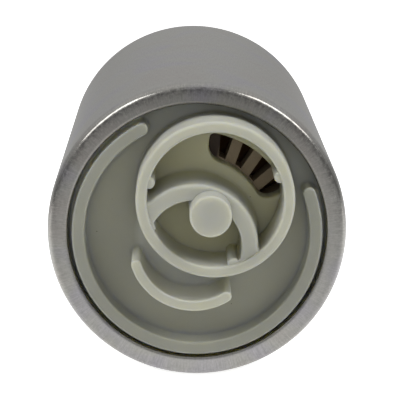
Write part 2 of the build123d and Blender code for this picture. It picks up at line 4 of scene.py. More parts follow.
import bmesh
import bpy
import numpy as np
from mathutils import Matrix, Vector


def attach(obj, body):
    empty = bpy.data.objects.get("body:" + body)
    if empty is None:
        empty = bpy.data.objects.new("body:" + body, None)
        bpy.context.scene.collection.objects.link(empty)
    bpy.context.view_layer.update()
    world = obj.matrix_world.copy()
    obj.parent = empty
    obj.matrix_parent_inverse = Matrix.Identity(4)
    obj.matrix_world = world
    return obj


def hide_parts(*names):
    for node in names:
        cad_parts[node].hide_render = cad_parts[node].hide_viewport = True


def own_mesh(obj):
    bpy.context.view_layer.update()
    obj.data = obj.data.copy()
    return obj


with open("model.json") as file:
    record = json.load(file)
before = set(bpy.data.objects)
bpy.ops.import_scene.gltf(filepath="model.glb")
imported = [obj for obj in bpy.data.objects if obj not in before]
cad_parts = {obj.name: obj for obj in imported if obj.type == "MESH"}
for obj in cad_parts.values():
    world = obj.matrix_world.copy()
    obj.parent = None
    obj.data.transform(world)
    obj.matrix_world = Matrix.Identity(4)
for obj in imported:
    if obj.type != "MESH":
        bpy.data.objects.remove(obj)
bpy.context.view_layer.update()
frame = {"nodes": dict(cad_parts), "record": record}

# Sizes of the pump in millimetres, as in the part's source. A depth runs into the pump from
# the plane of the inlet rim, and an angle runs from +X towards +Z.
MM = 0.001
SHELL_RADIUS = 19.0
SHELL_WALL = 1.3
SHELL_LENGTH = 59.5
RIM = -SHELL_LENGTH / 2
LIP_RADIUS = 16.4
LIP_SLOPE = 0.14  # the lip's outer corner lies this much deeper than its edge
SEAT_RADIUS = 16.75
PLATE_RADIUS = 17.68
FLOOR = 3.5
BACK = 6.4
ROOT = 4.6  # depth in the plate at which the walls that stand free on it end
TUCK = 0.002  # the foot of a wall's fillet lies this far under the floor
HEADING = 66.5
COLLAR_RADIUS = 9.9
COLLAR_BORE = 8.5
COLLAR_FRONT = -4.2
CRUSH_RIB_RADIUS = 0.75
CRUSH_RIB_FRONT = -3.95
ARCH_FRONT = -3.85
POST_RADIUS = 2.6
POST_FRONT = -7.0
RIB_RADIUS = 15.06
RIB_HALF_WIDTH = 0.81
GUARD_RADIUS = 7.55
GUARD_HALF_WIDTH = 0.65
GUARD_FRONT = -3.8


def along_heading(distance):
    """Point of the cross plane on the line from the pump's axis through the middle of the collar."""
    return np.array([cos(radians(HEADING)), sin(radians(HEADING))]) * distance


AXIS = np.array([0, 0])
RIB = np.array([0, -0.15])
COLLAR = along_heading(5.55)
ARCH = along_heading(-1.0)
POST = along_heading(4.0)
GUARD = along_heading(-1.1)


# Shapes

def unit(degrees):
    """Directions of the cross plane at these angles."""
    return np.stack([np.cos(np.radians(degrees)), np.sin(np.radians(degrees))], -1)


def in_row(across, depth):
    """Points in metres from cross-plane points and depths in millimetres."""
    parts = np.broadcast_arrays(across[..., 0], depth + RIM, across[..., 1])
    return np.stack(parts, -1) * MM


def eased(corners, reach, steps=6, lead=0.4):
    """Outline with its corners rounded. Round corner p, with a and b the unit ways to its
    neighbours and c and d the reach along them, which is one number where they are the same, a
    point is p + c (1 - t)^2 a + d t^2 b. One more point on each side, further out by the lead
    times the reach, keeps the flat beside the curve flat."""
    p = np.asarray(corners, float)
    c, d = np.array([np.resize(one, 2) for one in reach], float).T[:, :, None, None]
    ways = [np.roll(p, shift, 0) - p for shift in (1, -1)]
    a, b = [way / np.linalg.norm(way, axis=1, keepdims=True) for way in ways]
    t = np.concatenate([[-lead], np.linspace(0, 1, steps), [1 + lead]])[None, :, None]
    part_a = np.where(t < 0, 1 - t, np.where(t > 1, 0, (1 - t) ** 2))
    part_b = np.where(t > 1, t, np.where(t < 0, 0, t**2))
    points = p[:, None] + c * part_a * a[:, None] + d * part_b * b[:, None]
    return points.reshape(-1, 2)


def turned(profile, centre, around=192):
    """Profile of (radius, depth) turned about a line along Y: centre + radius u(a)."""
    a = unit(np.linspace(0, 360, around, endpoint=False))[:, None]
    return in_row(centre + profile[:, 0][:, None] * a, profile[:, 1])


def wall(profile, centre, radius, start, end, along=96, cap=14):
    """Wall with round ends on an arc, from a profile of (half width e, depth). A point is
    centre + radius u(a) + e u(d): a runs along the arc and back, and d is the way out of the
    wall, which swings half round at each end. Start and end are counted from the heading."""
    out = np.linspace(start, end, along)
    swing = np.linspace(0, 180, cap + 2)[1:-1]
    a = np.concatenate([out, np.full(cap, end), out[::-1], np.full(cap, start)]) + HEADING
    d = np.concatenate([out, end + swing, out[::-1] + 180, start + 180 + swing]) + HEADING
    across = centre + radius * unit(a)[:, None] + profile[:, 0][:, None] * unit(d)[:, None]
    return in_row(across, profile[:, 1])


def grid_faces(rows, columns, ring):
    """Corner numbers of the faces of a grid whose rows close on themselves, and whose columns
    do so where ring is true."""
    r = np.arange(rows)[:, None]
    c = np.arange(columns if ring else columns - 1)[None, :]
    below, beside = (r + 1) % rows, (c + 1) % columns
    corners = (r * columns + c, below * columns + c, below * columns + beside, r * columns + beside)
    return np.stack(np.broadcast_arrays(*corners), -1).reshape(-1, 4)


def smooth(mesh, angle=32):
    """Smooth shading, with the edges above this angle kept crisp."""
    mesh.shade_smooth()
    mesh.set_sharp_from_angle(angle=radians(angle))


def skin(points, ring=False):
    """Closed mesh from a grid of points, whose columns close on themselves where ring is true
    and otherwise end in a point or a seam."""
    rows, columns = points.shape[:2]
    mesh = bpy.data.meshes.new("skin")
    mesh.from_pydata(points.reshape(-1, 3), [], grid_faces(rows, columns, ring))
    bm = bmesh.new()
    bm.from_mesh(mesh)
    bmesh.ops.remove_doubles(bm, verts=bm.verts, dist=2e-7)
    bmesh.ops.recalc_face_normals(bm, faces=bm.faces)
    bm.to_mesh(mesh)
    bm.free()
    return mesh


def link(thing):
    """Puts an object into the scene."""
    bpy.context.scene.collection.objects.link(thing)
    return thing


def cut_and_joined(first, *steps):
    """One mesh from a closed skin, with others cut from it or joined to it in this order. No
    wall is left inside, so light spreads in it as in one moulding."""
    base = link(bpy.data.objects.new("base", first))
    tools = [link(bpy.data.objects.new("tool", other)) for operation, other in steps]
    for (operation, other), tool in zip(steps, tools):
        modifier = base.modifiers.new("join", "BOOLEAN")
        modifier.solver, modifier.operation, modifier.object = "MANIFOLD", operation, tool
    mesh = bpy.data.meshes.new_from_object(base.evaluated_get(bpy.context.evaluated_depsgraph_get()))
    for thing in (base, *tools):
        bpy.data.objects.remove(thing)
    return mesh


def dress(thing, finish, body, *nodes):
    """Links a finished piece, gives it its material and material slot and sets it in place of
    its CAD nodes. Its wide faces set the direction of the shading at their edges, so that a
    flat stays flat beside a fillet."""
    link(thing)
    thing.data.materials.clear()
    thing.data.materials.append(finish)
    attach(thing, body)
    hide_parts(*nodes)
    flat = thing.modifiers.new("flat", "WEIGHTED_NORMAL")
    flat.keep_sharp = True
    return thing


def piece(name, mesh, finish, body, *nodes):
    """Finished piece from a closed mesh."""
    mesh.name = name
    smooth(mesh)
    return dress(bpy.data.objects.new(name, mesh), finish, body, *nodes)


def merged_copy(name, node, finish, body):
    """Copy of a CAD node with its loose triangles joined and its curved faces shaded smooth."""
    mesh = frame["nodes"][node].data.copy()
    bm = bmesh.new()
    bm.from_mesh(mesh)
    bmesh.ops.remove_doubles(bm, verts=bm.verts, dist=1e-7)
    bm.to_mesh(mesh)
    bm.free()
    smooth(mesh, 28)
    return dress(bpy.data.objects.new(name, mesh), finish, body, node)


# Materials

def linear(code):
    """Linear colour from an sRGB hex value."""
    parts = np.array([int(code[i:i + 2], 16) for i in (0, 2, 4)]) / 255
    parts = np.where(parts <= 0.04045, parts / 12.92, ((parts + 0.055) / 1.055) ** 2.4)
    return (*parts, 1.0)


def per_mm(size):
    """Texture scale at which one cell is this many millimetres, on coordinates in metres."""
    return 1 / (size * MM)


def add(tree, kind, links=(), **settings):
    """Adds a shader node. Links name its sockets or count them, and give a number, a colour or
    an output. Map Range takes its value as 0, the range that this comes from as 1 and 2 and the
    range that it goes to as 3 and 4. Mix takes its factor as 0, its numbers as 2 and 3 and its
    colours as 6 and 7, and gives a mixed colour as output 2."""
    made = tree.nodes.new(kind)
    for name, value in settings.items():
        setattr(made, name, value)
    for socket, value in dict(links).items():
        if isinstance(value, bpy.types.NodeSocket):
            tree.links.new(value, made.inputs[socket])
        else:
            made.inputs[socket].default_value = value
    return made


def material(name, **sockets):
    """New material: its node tree, its principled shader and where the object's own coordinates
    come out."""
    made = bpy.data.materials.new(name)
    made.use_nodes = True
    tree = made.node_tree
    shader = tree.nodes["Principled BSDF"]
    for socket, value in sockets.items():
        shader.inputs[socket.replace("_", " ")].default_value = value
    place = add(tree, "ShaderNodeTexCoord").outputs["Object"]
    return made, tree, shader, place


def two_tone(name, light, dark, grain, metallic=0.0, roughness=0.5, spread=0.1, relief=0.02, **sockets):
    """Material whose colour, roughness and relief follow one noise, with cells of the grain's
    size and a relief in millimetres."""
    made, tree, shader, place = material(name, Metallic=metallic, **sockets)
    cells = {"Vector": place, "Scale": per_mm(grain), "Detail": 4.0}
    noise = add(tree, "ShaderNodeTexNoise", cells).outputs[0]
    tones = {0: noise, 6: linear(dark), 7: linear(light)}
    blend = add(tree, "ShaderNodeMix", tones, data_type="RGBA").outputs[2]
    tree.links.new(blend, shader.inputs["Base Color"])
    dulling = {0: noise, 1: 0.3, 2: 0.7, 3: roughness - spread / 2, 4: roughness + spread / 2}
    dull = add(tree, "ShaderNodeMapRange", dulling).outputs[0]
    tree.links.new(dull, shader.inputs["Roughness"])
    bump = add(tree, "ShaderNodeBump", {"Height": noise, "Strength": 0.5, "Distance": relief * MM})
    tree.links.new(bump.outputs[0], shader.inputs["Normal"])
    return made


def painted_shade_band(tree, place, parts, radius, depth):
    """Share of the steel's brightness that is left on the front of the lip: painted shade, a dark mottled
    band that stands in for the dim surroundings that the lip's rounded corner reflects. It starts 17.3 mm
    out, is full from 18.2 mm and is heaviest at the top."""
    front = add(tree, "ShaderNodeMapRange", {0: depth, 1: 0.22 * MM, 2: 0.42 * MM, 3: 1.0, 4: 0.0}).outputs[0]
    toward_corner = add(tree, "ShaderNodeMapRange", {0: radius, 1: 17.3 * MM, 2: 18.2 * MM}).outputs[0]
    upper = add(tree, "ShaderNodeMapRange", {0: parts["Z"], 1: 0.0, 2: 8 * MM, 3: 0.25, 4: 1.0}).outputs[0]
    cells = {"Vector": place, "Scale": per_mm(0.45), "Detail": 6.0, "Roughness": 0.75}
    patches = add(tree, "ShaderNodeTexNoise", cells).outputs[0]
    patches = add(tree, "ShaderNodeMapRange", {0: patches, 1: 0.36, 2: 0.58}).outputs[0]
    band_shade = add(tree, "ShaderNodeMath", {0: front, 1: toward_corner}, operation="MULTIPLY").outputs[0]
    band_shade = add(tree, "ShaderNodeMath", {0: band_shade, 1: upper}, operation="MULTIPLY").outputs[0]
    band_shade = add(tree, "ShaderNodeMath", {0: band_shade, 1: patches}, operation="MULTIPLY").outputs[0]
    return add(tree, "ShaderNodeMapRange", {0: band_shade, 3: 1.0, 4: 0.5}).outputs[0]


def burnished_corner(tree, depth):
    """Share of the steel's roughness that is left at the outer corner of the lip, which the
    rolling tool has burnished from 0.14 to 0.9 mm deep, and most from 0.26 to 0.5 mm."""
    ramp_length = 2 * MM
    black, white = (0, 0, 0, 1), (1, 1, 1, 1)
    share = add(tree, "ShaderNodeMath", {0: depth, 1: ramp_length}, operation="DIVIDE").outputs[0]
    corner = add(tree, "ShaderNodeValToRGB", {0: share})
    band = corner.color_ramp
    band.elements[0].position, band.elements[0].color = 0.07, black
    band.elements[1].position, band.elements[1].color = 0.13, white
    band.elements.new(0.25).color = white
    band.elements.new(0.45).color = black
    return add(tree, "ShaderNodeMapRange", {0: corner.outputs[0], 3: 1.0, 4: 0.36}).outputs[0]


def plated_steel():
    """Deep-drawn steel tube, zinc plated: a dull grey metal. Drawing leaves faint streaks along
    the tube, rolling the lip in leaves short radial scuffs on it, and the plating is clouded
    with faint violet and brown."""
    made, tree, shader, place = material("zinc_plated_drawn_steel", Metallic=1.0)
    parts = add(tree, "ShaderNodeSeparateXYZ", {0: place}).outputs
    angle = add(tree, "ShaderNodeMath", {0: parts["Z"], 1: parts["X"]}, operation="ARCTAN2").outputs[0]
    flat = add(tree, "ShaderNodeVectorMath", {0: place, 1: (1.0, 0.0, 1.0)}, operation="MULTIPLY").outputs[0]
    radius = add(tree, "ShaderNodeVectorMath", {0: flat}, operation="LENGTH").outputs["Value"]
    depth = add(tree, "ShaderNodeMath", {0: parts["Y"], 1: -RIM * MM}, operation="ADD").outputs[0]
    # cells 0.14 mm wide round the tube and 1.6 mm long, radially on the lip and along the tube
    arc = add(tree, "ShaderNodeMath", {0: angle, 1: SHELL_RADIUS * MM}, operation="MULTIPLY").outputs[0]
    run = add(tree, "ShaderNodeMath", {0: radius, 1: parts["Y"]}, operation="SUBTRACT").outputs[0]
    short = add(tree, "ShaderNodeMath", {0: run, 1: 0.09}, operation="MULTIPLY").outputs[0]
    polar = add(tree, "ShaderNodeCombineXYZ", {0: arc, 1: short, 2: 0.0}).outputs[0]
    lines = {"Vector": polar, "Scale": per_mm(0.14), "Detail": 3.0}
    scuffs = add(tree, "ShaderNodeTexNoise", lines).outputs[0]
    fine = {"Vector": place, "Scale": per_mm(0.3), "Detail": 5.0, "Roughness": 0.7}
    pits = add(tree, "ShaderNodeTexNoise", fine).outputs[0]
    broad = {"Vector": place, "Scale": per_mm(9), "Detail": 2.0, "Distortion": 0.6}
    cloud = add(tree, "ShaderNodeTexNoise", broad).outputs[0]
    tint = add(tree, "ShaderNodeValToRGB", {0: cloud})
    ramp = tint.color_ramp
    ramp.elements[0].position, ramp.elements[0].color = 0.34, linear("8a8783")
    ramp.elements[1].position, ramp.elements[1].color = 0.66, linear("88868a")
    ramp.elements.new(0.5).color = linear("8b8a86")
    fade = add(tree, "ShaderNodeMapRange", {0: scuffs, 1: 0.3, 2: 0.7, 3: 0.86, 4: 1.1}).outputs[0]
    mottle = add(tree, "ShaderNodeMapRange", {0: pits, 1: 0.3, 2: 0.7, 3: 0.87, 4: 1.15}).outputs[0]
    both = add(tree, "ShaderNodeMath", {0: fade, 1: mottle}, operation="MULTIPLY").outputs[0]
    # painted shade: a dark mottled band on the front of the lip, for the dim surroundings that its rounded
    # corner reflects, heaviest at the top
    kept_tone = painted_shade_band(tree, place, parts, radius, depth)
    both = add(tree, "ShaderNodeMath", {0: both, 1: kept_tone}, operation="MULTIPLY").outputs[0]
    colour = add(tree, "ShaderNodeVectorMath", {0: tint.outputs[0], "Scale": both}, operation="SCALE")
    tree.links.new(colour.outputs[0], shader.inputs["Base Color"])
    dull = add(tree, "ShaderNodeMapRange", {0: pits, 1: 0.3, 2: 0.7, 3: 0.36, 4: 0.48}).outputs[0]
    bright = burnished_corner(tree, depth)
    dull = add(tree, "ShaderNodeMath", {0: dull, 1: bright}, operation="MULTIPLY").outputs[0]
    tree.links.new(dull, shader.inputs["Roughness"])
    scuffed = {"Height": scuffs, "Strength": 0.35, "Distance": 0.012 * MM}
    first = add(tree, "ShaderNodeBump", scuffed).outputs[0]
    pitted = {"Height": pits, "Strength": 0.4, "Distance": 0.02 * MM, "Normal": first}
    second = add(tree, "ShaderNodeBump", pitted).outputs[0]
    tree.links.new(second, shader.inputs["Normal"])
    return made


def beyond(tree, place, centre, near, far):
    """Mask that grows from 0 to 1 between two distances, in millimetres, from a line along Y."""
    middle = (centre[0] * MM, 0, centre[1] * MM)
    across = add(tree, "ShaderNodeVectorMath", {0: place, 1: middle}, operation="SUBTRACT").outputs[0]
    across = add(tree, "ShaderNodeVectorMath", {0: across, 1: (1, 0, 1)}, operation="MULTIPLY").outputs[0]
    across = add(tree, "ShaderNodeVectorMath", {0: across}, operation="LENGTH").outputs["Value"]
    return add(tree, "ShaderNodeMapRange", {0: across, 1: near * MM, 2: far * MM}).outputs[0]


def lit_rib(tree, place, sides):
    """Mask of the rib's outer side behind its rounded front, which light through the thin rib
    makes paler: everywhere below 5 mm over the pump's axis, and further up where it lies more
    than 7 mm to the left."""
    past_rib = beyond(tree, place, RIB, 15.75, 15.85)
    past_groove = beyond(tree, place, RIB, 16.15, 16.35)
    lit = add(tree, "ShaderNodeMath", {0: past_rib, 1: past_groove}, operation="SUBTRACT").outputs[0]
    to_left = {0: sides["X"], 1: -7.3 * MM, 2: -6.8 * MM, 3: 1.0, 4: 0.0}
    left = add(tree, "ShaderNodeMapRange", to_left).outputs[0]
    to_bottom = {0: sides["Z"], 1: 4.6 * MM, 2: 5.2 * MM, 3: 1.0, 4: 0.0}
    low = add(tree, "ShaderNodeMapRange", to_bottom).outputs[0]
    where = add(tree, "ShaderNodeMath", {0: left, 1: low}, operation="MAXIMUM").outputs[0]
    lit = add(tree, "ShaderNodeMath", {0: lit, 1: where}, operation="MULTIPLY").outputs[0]
    from_front = {0: sides["Y"], 1: (RIM + 0.2) * MM, 2: (RIM + 0.9) * MM}
    behind_edge = add(tree, "ShaderNodeMapRange", from_front).outputs[0]
    return add(tree, "ShaderNodeMath", {0: lit, 1: behind_edge}, operation="MULTIPLY").outputs[0]


def inlet_tones(tree, place, tone):
    """Colour of the inlet cover. The plate and the thin rib are painted greyer than the walls on them, as
    painted shade for the recess behind the rim and the lip; the pocket in the collar is painted paler and
    yellower, as painted light for warm light thrown into it; and the rib's outer side is painted paler, as
    light through the thin rib makes it."""
    sides = add(tree, "ShaderNodeSeparateXYZ", {0: place}).outputs
    deep = {0: sides["Y"], 1: (RIM - 1.5) * MM, 2: (RIM + 2.8) * MM}
    low = add(tree, "ShaderNodeMapRange", deep).outputs[0]
    past_bore = beyond(tree, place, COLLAR, 8.2, 8.8)
    past_guard = beyond(tree, place, GUARD, 6.8, 7.7)
    past_collar = beyond(tree, place, COLLAR, 9.95, 10.3)
    near_rib = beyond(tree, place, RIB, 13.5, 14.1)
    outside = add(tree, "ShaderNodeMath", {0: past_bore, 1: past_guard}, operation="MULTIPLY").outputs[0]
    plate = add(tree, "ShaderNodeMath", {0: low, 1: outside}, operation="MULTIPLY").outputs[0]
    rib = add(tree, "ShaderNodeMath", {0: past_collar, 1: near_rib}, operation="MULTIPLY").outputs[0]
    inside = add(tree, "ShaderNodeMath", {0: 1.0, 1: past_bore}, operation="SUBTRACT").outputs[0]
    pocket = add(tree, "ShaderNodeMath", {0: low, 1: inside}, operation="MULTIPLY").outputs[0]
    lit = lit_rib(tree, place, sides)
    # painted shade: plate 9e9e90 and rib 9b9c93 greyer; painted light: the rib's outer side d8d9d2 and the
    # collar's pocket bab89a paler
    for mask, code in ((plate, "9e9e90"), (rib, "9b9c93"), (lit, "d8d9d2"), (pocket, "bab89a")):
        tone = add(tree, "ShaderNodeMix", {0: mask, 6: tone, 7: linear(code)}, data_type="RGBA").outputs[2]
    return tone


def acetal(name, tones=None):
    """Natural acetal, injection moulded: milky ivory that light soaks into, with the fine even
    grain of a spark-eroded mould, faint clouds where the melt flowed and a few dark specks. A
    function of its own gives the tones of a cover that has more than one."""
    made, tree, shader, place = material(
        name,
        IOR=1.48,
        Specular_IOR_Level=0.35,
        Subsurface_Weight=1.0,
        Subsurface_Scale=3 * MM,
        Subsurface_Radius=(1.0, 0.92, 0.55),
    )
    flowed = {"Vector": place, "Scale": per_mm(5), "Detail": 2.0, "Distortion": 0.8}
    cloud = add(tree, "ShaderNodeTexNoise", flowed).outputs[0]
    milky = {0: cloud, 6: linear("b1b2a9"), 7: linear("b9bab1")}
    tone = add(tree, "ShaderNodeMix", milky, data_type="RGBA").outputs[2]
    if tones:
        tone = tones(tree, place, tone)
    dots = {"Vector": place, "Scale": per_mm(3.2), "Randomness": 1.0}
    specks = add(tree, "ShaderNodeTexVoronoi", dots).outputs["Distance"]
    speck = add(tree, "ShaderNodeMapRange", {0: specks, 1: 0.018, 2: 0.03, 3: 0.35, 4: 1.0}).outputs[0]
    colour = add(tree, "ShaderNodeVectorMath", {0: tone, "Scale": speck}, operation="SCALE").outputs[0]
    tree.links.new(colour, shader.inputs["Base Color"])
    # the mould's grain is too fine to show, so it is drawn with cells 0.16 mm wide
    eroded = {"Vector": place, "Scale": per_mm(0.16), "Detail": 2.0}
    grain = add(tree, "ShaderNodeTexNoise", eroded).outputs[0]
    dull = add(tree, "ShaderNodeMapRange", {0: grain, 1: 0.3, 2: 0.7, 3: 0.52, 4: 0.64}).outputs[0]
    tree.links.new(dull, shader.inputs["Roughness"])
    bump = add(tree, "ShaderNodeBump", {"Height": grain, "Strength": 0.3, "Distance": 0.008 * MM}).outputs[0]
    tree.links.new(bump, shader.inputs["Normal"])
    return made


def striped(name, light, dark, pitch, axis, **settings):
    """Two-tone material with lines at this pitch in millimetres across an axis, as on a stack
    of laminations or a winding. A wave of scale s has a line every pi / (10 s)."""
    made = two_tone(name, light, dark, 0.4, **settings)
    tree = made.node_tree
    shader = tree.nodes["Principled BSDF"]
    place = add(tree, "ShaderNodeTexCoord").outputs["Object"]
    bands = {"Vector": place, "Scale": pi / (10 * pitch * MM), "Distortion": 0.6, "Detail Scale": 1.0}
    lines = add(tree, "ShaderNodeTexWave", bands, wave_type="BANDS", bands_direction=axis).outputs["Fac"]
    grained = shader.inputs["Normal"].links[0].from_socket
    grooves = {"Height": lines, "Strength": 0.7, "Distance": 0.06 * MM, "Normal": grained}
    bump = add(tree, "ShaderNodeBump", grooves).outputs[0]
    tree.links.new(bump, shader.inputs["Normal"])
    return made


def wheel_phenolic_with_painted_shade():
    """Glass filled phenolic, pressed and ground: a dull grey brown. One side of the wheel, 72 to 105
    degrees round, is painted dark brown as painted shade, where the end of the port shades it."""
    made = two_tone("glass_filled_phenolic", "97866d", "7f6f57", 0.25, roughness=0.62)
    tree = made.node_tree
    shader = tree.nodes["Principled BSDF"]
    place = add(tree, "ShaderNodeTexCoord").outputs["Object"]
    parts = add(tree, "ShaderNodeSeparateXYZ", {0: place}).outputs
    angle = add(tree, "ShaderNodeMath", {0: parts["Z"], 1: parts["X"]}, operation="ARCTAN2").outputs[0]
    start = add(tree, "ShaderNodeMapRange", {0: angle, 1: radians(71), 2: radians(74)}).outputs[0]
    fading = {0: angle, 1: radians(100), 2: radians(110), 3: 1.0, 4: 0.0}
    end = add(tree, "ShaderNodeMapRange", fading).outputs[0]
    # painted shade: dark brown from 72 to 105 degrees round, where the end of the port shades the wheel
    wheel_shade = add(tree, "ShaderNodeMath", {0: start, 1: end}, operation="MULTIPLY").outputs[0]
    kept_tone = shader.inputs["Base Color"].links[0].from_socket
    brown = {0: wheel_shade, 6: kept_tone, 7: linear("3b2a1c")}
    shaded_colour = add(tree, "ShaderNodeMix", brown, data_type="RGBA").outputs[2]
    tree.links.new(shaded_colour, shader.inputs["Base Color"])
    return made


# natural acetal of the inlet cover, with painted shade greying its plate and rib and painted light in its
# collar's pocket and on the rib's outer side
ivory_painted_light_and_shade = acetal("moulded_natural_acetal_painted_light_and_shade", inlet_tones)

# The grain of pressed, ground and moulded surfaces is too fine to show, so it is drawn with
# cells 0.12 to 0.6 mm wide
finishes = {
    "plated_steel": plated_steel(),
    "acetal": acetal("moulded_natural_acetal"),
    "phenolic_wheel": wheel_phenolic_with_painted_shade(),
    # pressed and dull; its brown black is painted shade, so that it stays dark behind the port
    "phenolic": two_tone(
        "phenolic_darkened_as_painted_shade", "4a3013", "37220b", 0.3, roughness=0.75, Specular_IOR_Level=0.1
    ),
    # hardened and ground: nearly a mirror, with the faintest clouds
    "hardened_steel": two_tone("ground_bearing_steel", "c3c4c6", "b4b5b8", 0.5, 1.0, 0.22, 0.06, 0.004),
    # pressed from powder and filled with oil: dull ochre metal, peppered with dark pores
    "bronze": two_tone("oil_filled_sintered_bronze", "a8834f", "7d5f38", 0.12, 1.0, 0.45, 0.15, 0.03),
    # pressed and fired: charcoal grey, dull and finely grained
    "ferrite": two_tone("sintered_ferrite", "4b4b4e", "3d3d40", 0.2, 0.0, 0.55, 0.15, 0.02),
    # drawn wire and rolled strip: a smooth, fairly bright grey metal
    "spring_steel": two_tone("drawn_spring_steel", "a9a9ac", "8f9094", 0.3, 1.0, 0.3, 0.1, 0.006),
    # moulded: brown black with a soft, dull sheen
    "seal_rubber": two_tone("fluorocarbon_rubber", "2f2c2b", "242120", 0.2, 0.0, 0.6, 0.1, 0.01),
    # turned and run in: warm orange metal, polished where the brushes run
    "copper": two_tone("turned_copper", "c98a63", "b0714c", 0.35, 1.0, 0.3, 0.12, 0.01),
    # tinned strip: pale warm grey metal, lightly clouded
    "tinned_brass": two_tone("tin_plated_brass", "bdbab1", "a9a69d", 0.6, 1.0, 0.32, 0.12, 0.008),
    # pressed: dark grey with a slight sheen
    "carbon": two_tone("pressed_carbon", "38383a", "29292b", 0.15, 0.0, 0.5, 0.15, 0.02),
    # moulded: black with an even satin sheen
    "valve_plastic": two_tone("black_acetal", "2b2c2e", "222325", 0.2, 0.0, 0.42, 0.08, 0.008),
    # sheets stamped and stacked: grey metal with a fine line every 0.5 mm
    "laminations": striped("stacked_laminations", "8d8f93", "74767a", 0.5, "Y", metallic=1.0, roughness=0.42),
    # wire under clear enamel: glossy red brown, with a line every 0.45 mm where turns lie side by side
    "copper_wire": striped("enamelled_copper_wire", "a4552a", "86401c", 0.45, "DIAGONAL", roughness=0.35),
}

# Every CAD node takes the finish of its material slot
slots = {subpart["node"]: subpart["material_slot"] for subpart in frame["record"]["subparts"]}
for node, thing in frame["nodes"].items():
    thing.data.materials.clear()
    thing.data.materials.append(finishes[slots[node]])


# Shell and inlet cover

def shell_skin():
    """Drawn tube with both ends rolled in: a closed profile turned about the pump's axis."""
    bore = SHELL_RADIUS - SHELL_WALL
    corners = [
        (LIP_RADIUS, 0),
        (SHELL_RADIUS, LIP_SLOPE),
        (SHELL_RADIUS, SHELL_LENGTH),
        (LIP_RADIUS, SHELL_LENGTH),
        (LIP_RADIUS, SHELL_LENGTH - SHELL_WALL),
        (bore, SHELL_LENGTH - SHELL_WALL),
        (bore, SHELL_WALL),
        (LIP_RADIUS, SHELL_WALL),
    ]
    reach = [0.5, (0.9, 2.0), 0.9, 0.3, 0.1, 0.1, 0.1, 0.3]
    return skin(turned(eased(corners, reach, steps=12, lead=0.05), AXIS, 288), True)


def plate_skin():
    """Plate of the inlet cover, with the raised seat that the lip is rolled over."""
    corners = [
        (0, FLOOR),
        (SEAT_RADIUS, FLOOR),
        (SEAT_RADIUS, SHELL_WALL),
        (PLATE_RADIUS, SHELL_WALL),
        (PLATE_RADIUS, BACK),
        (0, BACK),
    ]
    return skin(turned(eased(corners, [0, 0.2, 0.15, 0.1, 0.1, 0]), AXIS))


def port_skin():
    """Cutter of the kidney-shaped port: a rectangle with round corners, of arc length by radius,
    bent round the pump's axis. A column of it lies on rays from the port's middle, and the rays
    reach further by R (1 - cos t) where the edge of radius R rounds over into the floor."""
    inner, outer, start, end = 8.8, 12.3, -45.0, 15.5
    edge, past, around = 0.35, 0.5, 160
    mid_radius, mid_angle = (inner + outer) / 2, HEADING + (start + end) / 2
    half_arc = radians((end - start) / 2) * mid_radius
    corners = [(-half_arc, inner), (half_arc, inner), (half_arc, outer), (-half_arc, outer)]
    flat = eased(corners, [1.9, 2.3, 0.7, 1.5], steps=9, lead=0.02)
    closed = np.concatenate([flat, flat[:1]])
    lengths = np.concatenate([[0], np.cumsum(np.linalg.norm(np.diff(closed, axis=0), axis=1))])
    steps = np.linspace(0, lengths[-1], around, endpoint=False)
    arc_length, radius = [np.interp(steps, lengths, closed[:, i]) for i in (0, 1)]
    outline = unit(mid_angle + np.degrees(arc_length / mid_radius)) * radius[:, None]
    middle = unit(mid_angle) * mid_radius
    reach = np.linalg.norm(outline - middle, axis=1)[:, None]
    rays = (outline - middle)[:, None] / reach[..., None]
    t = np.linspace(0, pi / 2, 7)
    reaches = [reach * 0, reach, reach + edge * (1 - np.cos(t)), reach + edge, reach * 0]
    back, front = [BACK + past], [FLOOR - past]
    depths = [back, back, FLOOR + edge * (1 - np.sin(t)), front, front]
    return skin(in_row(middle + np.concatenate(reaches, 1)[..., None] * rays, np.concatenate(depths)))


def collar_skin():
    """Collar, with a fillet at its foot: a closed profile turned about the collar's middle."""
    foot, end = COLLAR_RADIUS + 0.5, BACK - 0.2
    corners = [
        (foot, FLOOR + TUCK),
        (COLLAR_RADIUS, FLOOR + TUCK),
        (COLLAR_RADIUS, COLLAR_FRONT),
        (COLLAR_BORE, COLLAR_FRONT),
        (COLLAR_BORE, end),
        (foot, end),
    ]
    return skin(turned(eased(corners, [0.02, 0.35, 0.45, 0.3, 0.02, 0.02]), COLLAR), True)


def crush_rib_skin(angle):
    """Crush rib down the bore of the collar, at this angle from the heading."""
    end = BACK - 0.3
    corners = [(0, end), (CRUSH_RIB_RADIUS, end), (CRUSH_RIB_RADIUS, CRUSH_RIB_FRONT), (0, CRUSH_RIB_FRONT)]
    middle = COLLAR + COLLAR_BORE * unit(HEADING + angle)
    return skin(turned(eased(corners, [0, 0.05, 0.35, 0]), middle, 40))


